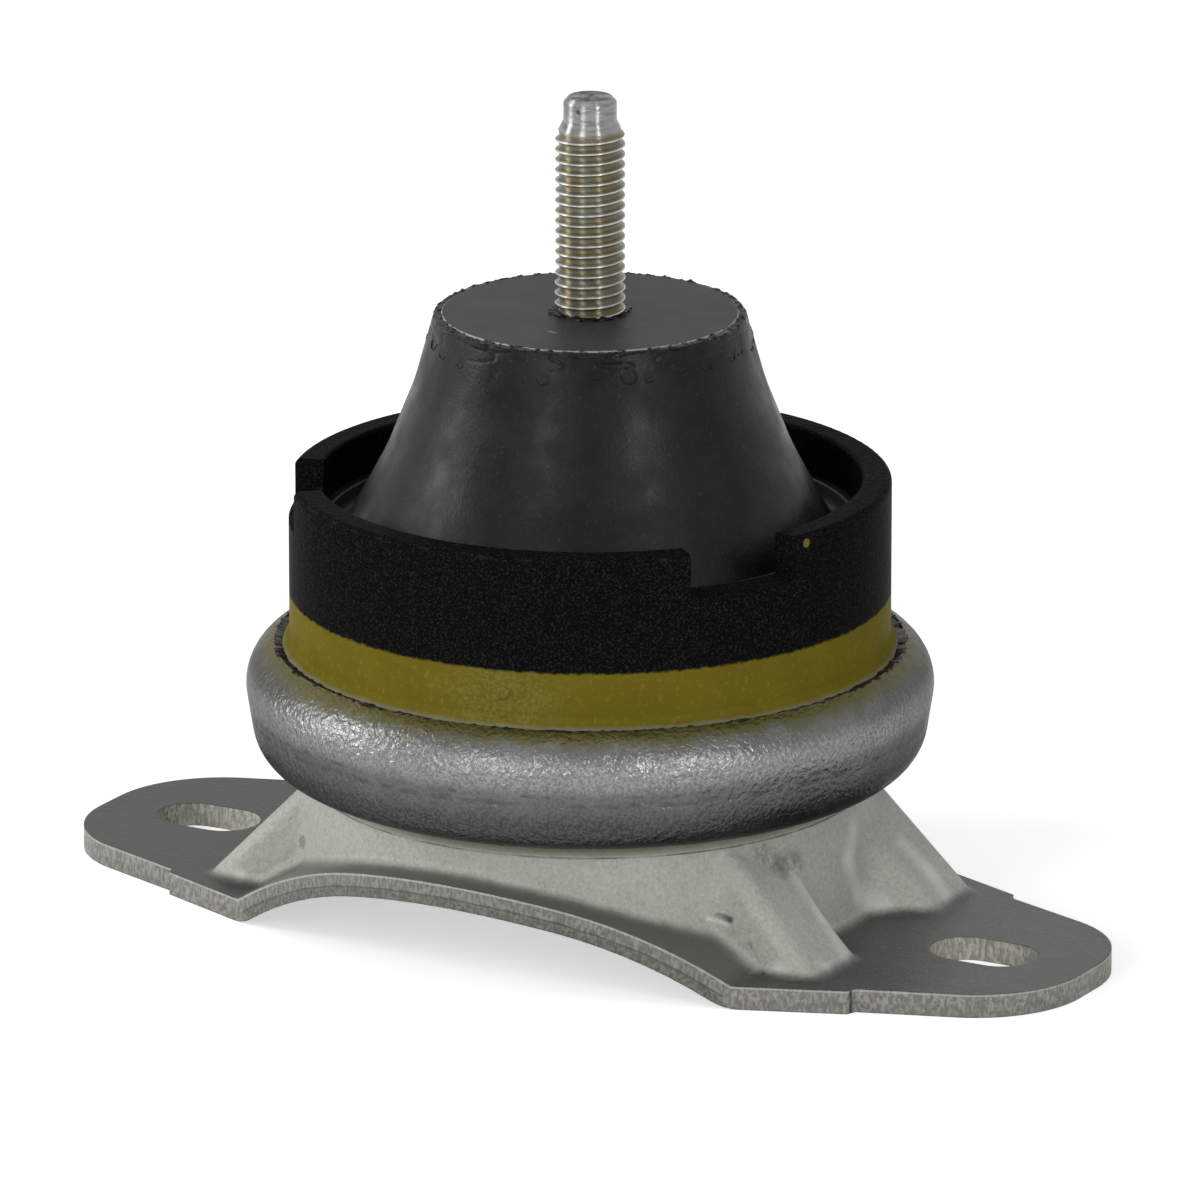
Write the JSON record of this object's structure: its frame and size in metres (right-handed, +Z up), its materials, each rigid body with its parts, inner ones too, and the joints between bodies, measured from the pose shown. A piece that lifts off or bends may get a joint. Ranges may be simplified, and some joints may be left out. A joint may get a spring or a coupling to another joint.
{
  "type": "hydraulic engine mount",
  "caption": "Hydraulic engine mount: threaded stud in a rubber cone, notched steel sleeve and crimped cup on a slotted pressed bracket.",
  "frame": {"origin": "on the ground, under the stud's axis, in the middle between the two slotted ears", "axes": "+X from the middle towards one slotted ear, +Z up along the stud, +Y across, towards the side of the sleeve's single notch"},
  "size_m": [0.1614, 0.0984, 0.1203],
  "materials": {
    "bracket_steel": "blasted steel with a thin grey-green coat, smoother and darker on the flats",
    "cup_zinc": "zinc plated, lightly hammered, faint yellow tint by the crease",
    "ring_coated": "satin black coat above, yellow-green passivated steel below",
    "stud_zinc": "bright zinc plated, rolled thread",
    "core_phosphate": "matt phosphated steel",
    "spring_rubber": "black moulded natural rubber, semi gloss",
    "soft_rubber": "thin black moulded rubber",
    "cast_plate": "die cast",
    "inner_steel": "plain pressed steel"
  },
  "bodies": {
    "root": {"base_bracket": "bracket_steel", "crimp_cup": "cup_zinc", "diaphragm_ring": "inner_steel", "diaphragm": "soft_rubber", "lower_channel_plate": "cast_plate", "decoupler": "soft_rubber", "upper_channel_plate": "inner_steel", "outer_ring": "ring_coated", "rubber_spring": "spring_rubber", "core": "core_phosphate", "stud": "stud_zinc"}
  },
  "joints": []
}
